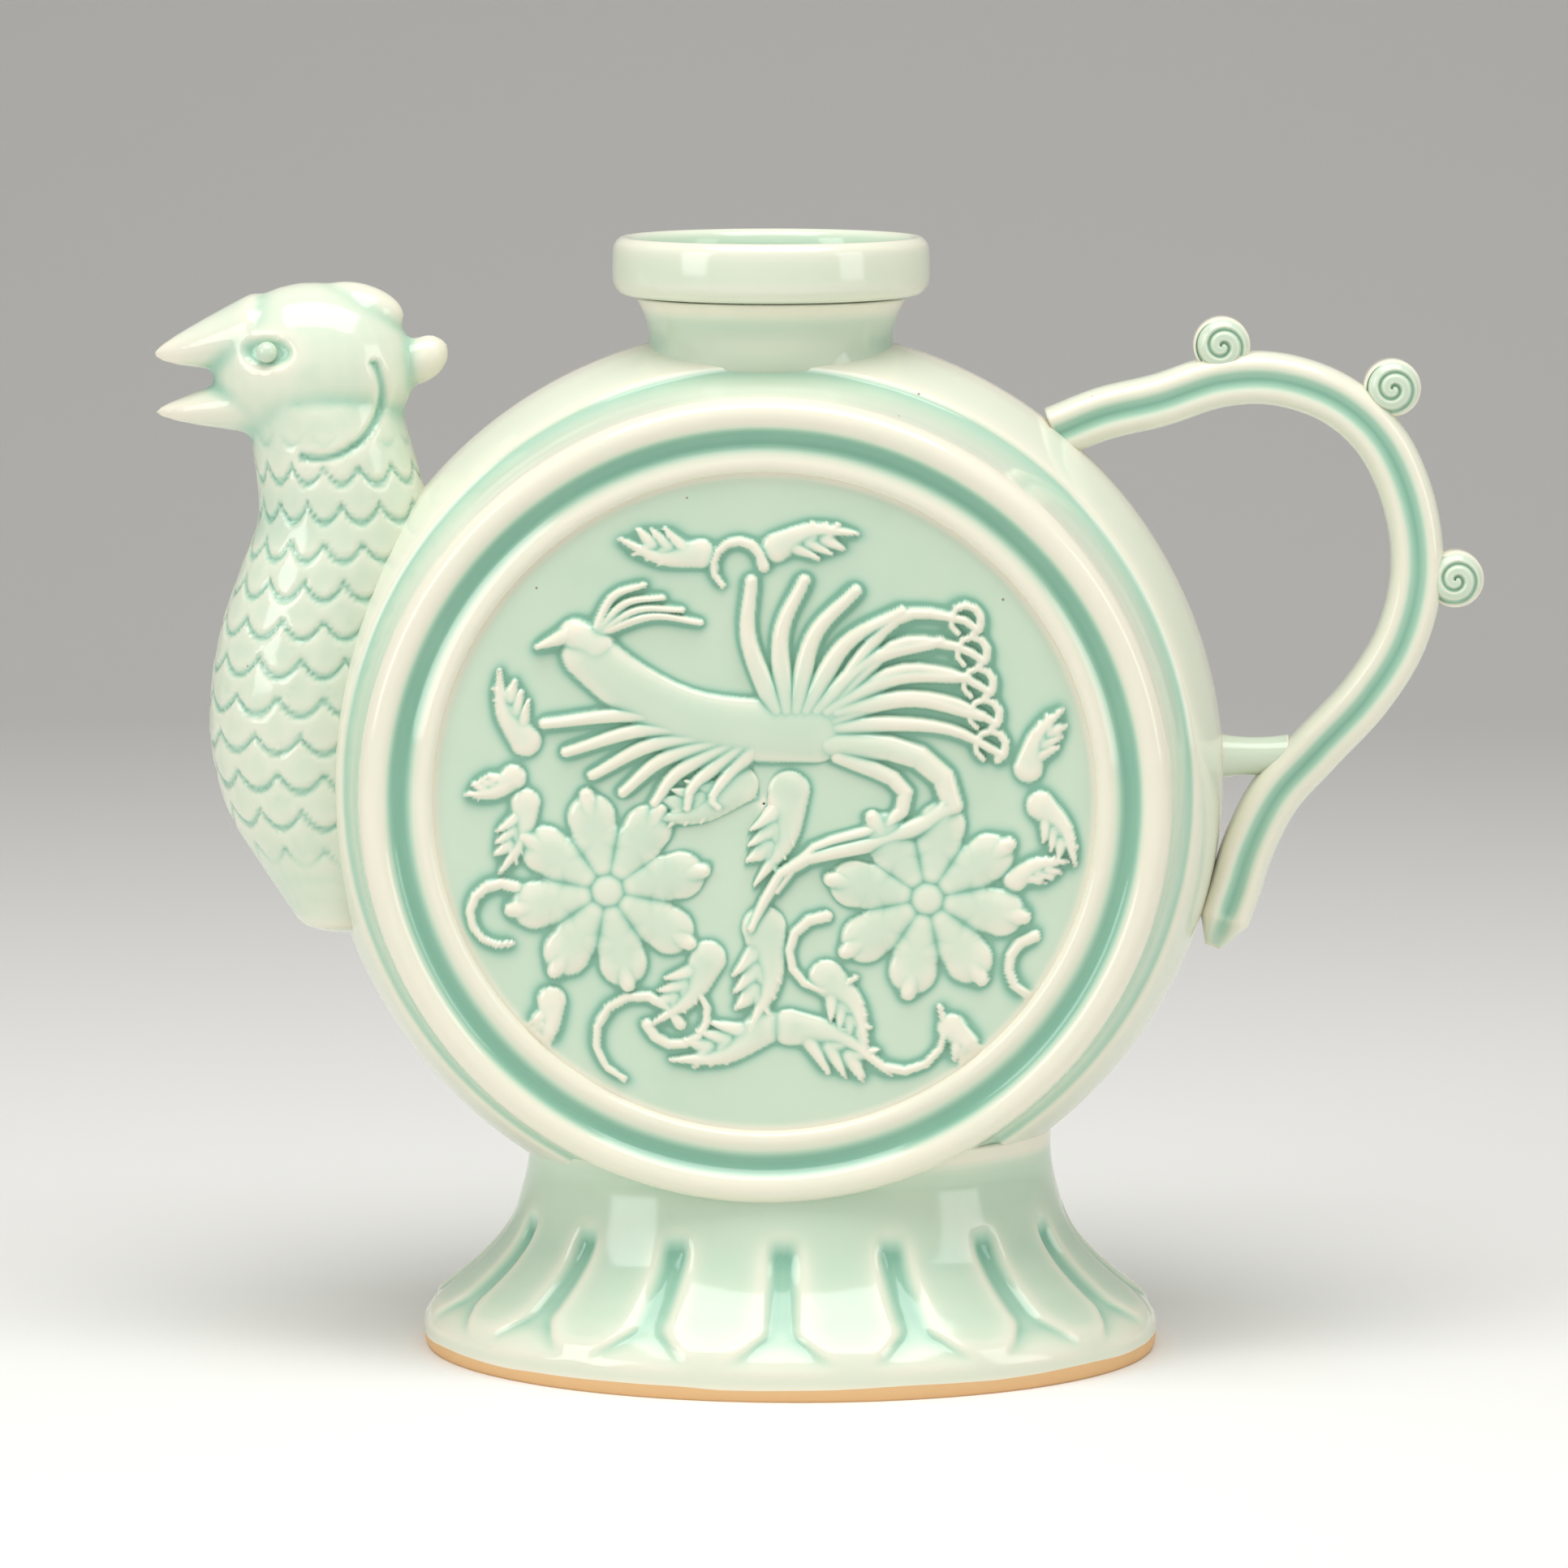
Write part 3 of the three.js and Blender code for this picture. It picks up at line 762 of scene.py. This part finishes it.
# %% [markdown]
# Each eye is a pellet of clay set in its hollow. It is a small ball, a little sunk.

# %% The bird's eyes
PELLET_SINK = 0.6
for name in ("near_eye", "far_eye"):
    low, high = box_mm(name)
    middle = (low + high) / 2
    middle[1] -= PELLET_SINK * np.sign(middle[1])
    pellet_radius = (high[0] - low[0]) / 2 * MM
    pellet = bmesh.new()
    bmesh.ops.create_uvsphere(pellet, u_segments=40, v_segments=24, radius=pellet_radius)
    bmesh.ops.translate(pellet, verts=pellet.verts, vec=Vector(middle * MM))
    eye_mesh = bpy.data.meshes.new("pellet_" + name)
    pellet.to_mesh(eye_mesh)
    pellet.free()
    finish_piece(link_object("pellet_" + name, eye_mesh), [name], passes=4, scale_mm=0.3)

# %% [markdown]
# The handle is a pulled strap. Its section is a rounded oblong with a shallow groove along its
# front and its back, and it is swept along a smooth line.

# %% The handle's line and section
# points from the drum's axis and the table, from the top joint to the tail
STRAP = [
    (46, 151), (54, 154.2), (63, 156.4), (73, 159.6), (82.5, 159.8), (92, 156.4), (99.2, 149.6),
    (103.7, 139.5), (105, 128.5), (102.6, 117.7), (97, 108.3), (89.2, 99.7), (82.6, 92.2),
    (78.4, 84), (75.8, 76), (72.6, 66.8),
]
STRAP_HALF_WIDTH, STRAP_HALF_DEPTH = 4.3, 5.0
STRAP_RINGS, SECTION_TURNS = 260, 48
SECTION_POWER = 0.7  # below 1, so the oval is drawn out to rounded corners
GROOVE_SHARE, GROOVE_HALF_WIDTH = 0.24, 1.5
END_RINGS, END_SHARE = 9, 0.35  # the tail narrows over its last rings
strap_line = spline(STRAP, STRAP_RINGS)
heading = np.gradient(strap_line, axis=0)
heading /= np.linalg.norm(heading, axis=1)[:, None]
side_way = np.column_stack([heading[:, 1], -heading[:, 0]])
section_turn = full_turn(SECTION_TURNS)


def draw_out(wave):
    return np.sign(wave) * np.abs(wave) ** SECTION_POWER


# %% The handle
section_y = draw_out(np.cos(section_turn))
section_w = draw_out(np.sin(section_turn))
strap_points = []
for k, (x, z) in enumerate(strap_line):
    to_end = min(1, (STRAP_RINGS - 1 - k) / END_RINGS)
    ending = min(1.0, (END_SHARE + (1 - END_SHARE) * to_end))
    reach = STRAP_HALF_WIDTH * ending * section_w
    groove = 1 - GROOVE_SHARE * np.exp(-((reach / GROOVE_HALF_WIDTH) ** 2))
    strap_points.append(np.column_stack([
        AXIS_X + x + side_way[k, 0] * reach, STRAP_HALF_DEPTH * ending * section_y * groove,
        z + side_way[k, 1] * reach]))
strap_faces = grid_faces(STRAP_RINGS, SECTION_TURNS) + end_faces(STRAP_RINGS, SECTION_TURNS)
strap = make_piece("strap_handle", np.vstack(strap_points), strap_faces)
finish_piece(strap, ["handle_strap"], passes=24, scale_mm=0.4)

# %% [markdown]
# Three small scrolls sit on the strap's outer edge. Each is a short drum of clay with domed
# sides and a spiral groove pressed into them.

# %% Scrolls
SCROLL_TURNS, SCROLL_RINGS = 120, 40  # rings on each side
SPIRAL_TURNS = 2.2
SPIRAL_DEPTH = 0.8
SCROLL_DOME = 0.45  # how much thinner the edge is than the middle


def scroll_side(radius, half, side, turn):
    rings = []
    for share in np.linspace(0.02, 1, SCROLL_RINGS)[::-side]:
        r = radius * share
        spiral = np.mod(share * SPIRAL_TURNS - turn / (2 * math.pi) * side, 1)
        dip = SPIRAL_DEPTH * smooth_step(0.28, 0.0, np.abs(spiral - 0.5)) * (share < 0.92)
        crown = half * (1 - SCROLL_DOME * share**4)
        rings.append((r * np.cos(turn), side * (crown - dip), r * np.sin(turn)))
    return rings


def scroll(name):
    low, high = box_mm(name)
    middle, radius, half = (low + high) / 2, (high[0] - low[0]) / 2, (high[1] - low[1]) / 2
    turn = full_turn(SCROLL_TURNS)
    rings = scroll_side(radius, half, -1, turn) + scroll_side(radius, half, 1, turn)
    points = [np.column_stack([middle[0] + x, y, middle[2] + z]) for x, y, z in rings]
    faces = grid_faces(len(rings), SCROLL_TURNS) + end_faces(len(rings), SCROLL_TURNS)
    piece = make_piece("scroll_" + name, np.vstack(points), faces)
    finish_piece(piece, [name], passes=16, scale_mm=0.3)


for curl_name in ("handle_curl_top", "handle_curl_shoulder", "handle_curl_back"):
    scroll(curl_name)

# %% [markdown]
# A short stem ties the strap to the drum. It is a rod that is a little thinner in its middle.

# %% The stem
STEM_RINGS = 30
STEM_WAIST = 0.86
stem_low, stem_high = box_mm("handle_stem")
stem_z = (stem_low[2] + stem_high[2]) / 2
stem_points = []
for share in np.linspace(0, 1, STEM_RINGS):
    x = stem_low[0] + share * (stem_high[0] - stem_low[0])
    r = stem_high[1] * (STEM_WAIST + (1 - STEM_WAIST) * (2 * share - 1) ** 2)
    stem_points.append(np.column_stack([
        np.full(SECTION_TURNS, x), r * np.cos(section_turn), stem_z + r * np.sin(section_turn)]))
stem_faces = grid_faces(STEM_RINGS, SECTION_TURNS) + end_faces(STEM_RINGS, SECTION_TURNS)
finish_piece(make_piece("stem", np.vstack(stem_points), stem_faces), ["handle_stem"], passes=16)

# %% [markdown]
# The stage is a pale sweep of paper that lies flat under the ewer and bends up behind it, so no
# corner shows. Sizes from here on are in metres, unless a name says otherwise.

# %% Stage
SWEEP_BEND_AT, SWEEP_BEND_RADIUS = 0.8, 0.6
bend_turns = np.linspace(0.08, math.pi / 2, 20)
bend = [(SWEEP_BEND_AT + SWEEP_BEND_RADIUS * math.sin(t),
         SWEEP_BEND_RADIUS - SWEEP_BEND_RADIUS * math.cos(t)) for t in bend_turns]
sweep_line = [(-1.2, 0.0), (SWEEP_BEND_AT, 0.0)] + bend + [(1.4, 2.6)]
sweep_points = [(x, y, z) for y, z in sweep_line for x in (-2.2, 2.2)]
sweep_faces = [(2 * k, 2 * k + 1, 2 * k + 3, 2 * k + 2) for k in range(len(sweep_line) - 1)]
sweep_mesh = bpy.data.meshes.new("sweep")
sweep_mesh.from_pydata(sweep_points, [], sweep_faces)
sweep = link_object("sweep", sweep_mesh)

# %% [markdown]
# The sweep is matt paper, which gives no reflection of its own. A ramp from front to back
# paints shade on it, so the paper grows darker towards the back.

# %% Matt paper
paper = bpy.data.materials.new("matt_paper")
paper.use_nodes = True
paper_tree = paper.node_tree
paper_shader = paper_tree.nodes["Principled BSDF"]
where = node(paper_tree, "ShaderNodeTexCoord")
axes = node(paper_tree, "ShaderNodeSeparateXYZ", Vector=where.outputs["Object"])
fade = node(paper_tree, "ShaderNodeMapRange", {"From Min": -0.1, "From Max": 1.3},
            Value=axes.outputs["Y"])
# painted shade: this ramp darkens the paper's colour from front to back, in place of light falling
# off
shade = node(paper_tree, "ShaderNodeValToRGB", Fac=fade.outputs[0])
shade.color_ramp.elements[0].color = linear("#F1F0ED")
shade.color_ramp.elements[1].color = linear("#CFCECB")
paper_tree.links.new(shade.outputs["Color"], paper_shader.inputs["Base Color"])
paper_shader.inputs["Roughness"].default_value = 0.9
sweep_mesh.materials.append(paper)


# %% [markdown]
# Large soft lamps give the long reflections that show off a glossy glaze. A pale world fills the
# shadows.

# %% Lamps
def soft_lamp(name, place, aim, size, power):
    data = bpy.data.lights.new(name, "AREA")
    data.shape = "RECTANGLE"
    data.size, data.size_y, data.energy = size[0], size[1], power
    lamp = bpy.data.objects.new(name, data)
    lamp.location = place
    lamp.rotation_euler = (Vector(aim) - Vector(place)).to_track_quat("-Z", "Y").to_euler()
    bpy.context.collection.objects.link(lamp)


soft_lamp("overhead_lamp", (0.0, -0.25, 0.95), (0, 0, 0.09), (0.9, 0.6), 7.5)
soft_lamp("left_lamp", (-0.85, -0.6, 0.45), (0, 0, 0.1), (0.4, 0.7), 3.4)
soft_lamp("right_lamp", (0.95, -0.5, 0.4), (0, 0, 0.1), (0.4, 0.7), 2.4)
world = bpy.data.worlds.new("studio")
bpy.context.scene.world = world
world.use_nodes = True
background = world.node_tree.nodes["Background"]
background.inputs["Color"].default_value = linear("#E4E4E2")
background.inputs["Strength"].default_value = 0.45

# %% [markdown]
# The camera looks at the ewer from the photograph's side: nearly square on to the face, a little
# from above and from about a metre away.

# %% Camera
DISTANCE, PITCH, AZIMUTH = 1.057, math.radians(7.9), math.radians(2.0)
SENSOR_MM, LENS_MM = 36, 148.06
AIM_RIGHT_OF_AXIS = 2.1  # mm
AIM_HEIGHT = 0.0932  # metres
target = Vector(((AXIS_X + AIM_RIGHT_OF_AXIS) * MM, 0, AIM_HEIGHT))
back_way = Vector((math.sin(AZIMUTH) * math.cos(PITCH), -math.cos(AZIMUTH) * math.cos(PITCH),
                   math.sin(PITCH)))
camera_data = bpy.data.cameras.new("camera")
camera_data.sensor_width = SENSOR_MM
camera_data.lens = LENS_MM
camera = bpy.data.objects.new("camera", camera_data)
camera.location = target + DISTANCE * back_way
camera.rotation_euler = (-back_way).to_track_quat("-Z", "Y").to_euler()
bpy.context.collection.objects.link(camera)
bpy.context.scene.camera = camera
bpy.context.scene.view_settings.view_transform = "Standard"
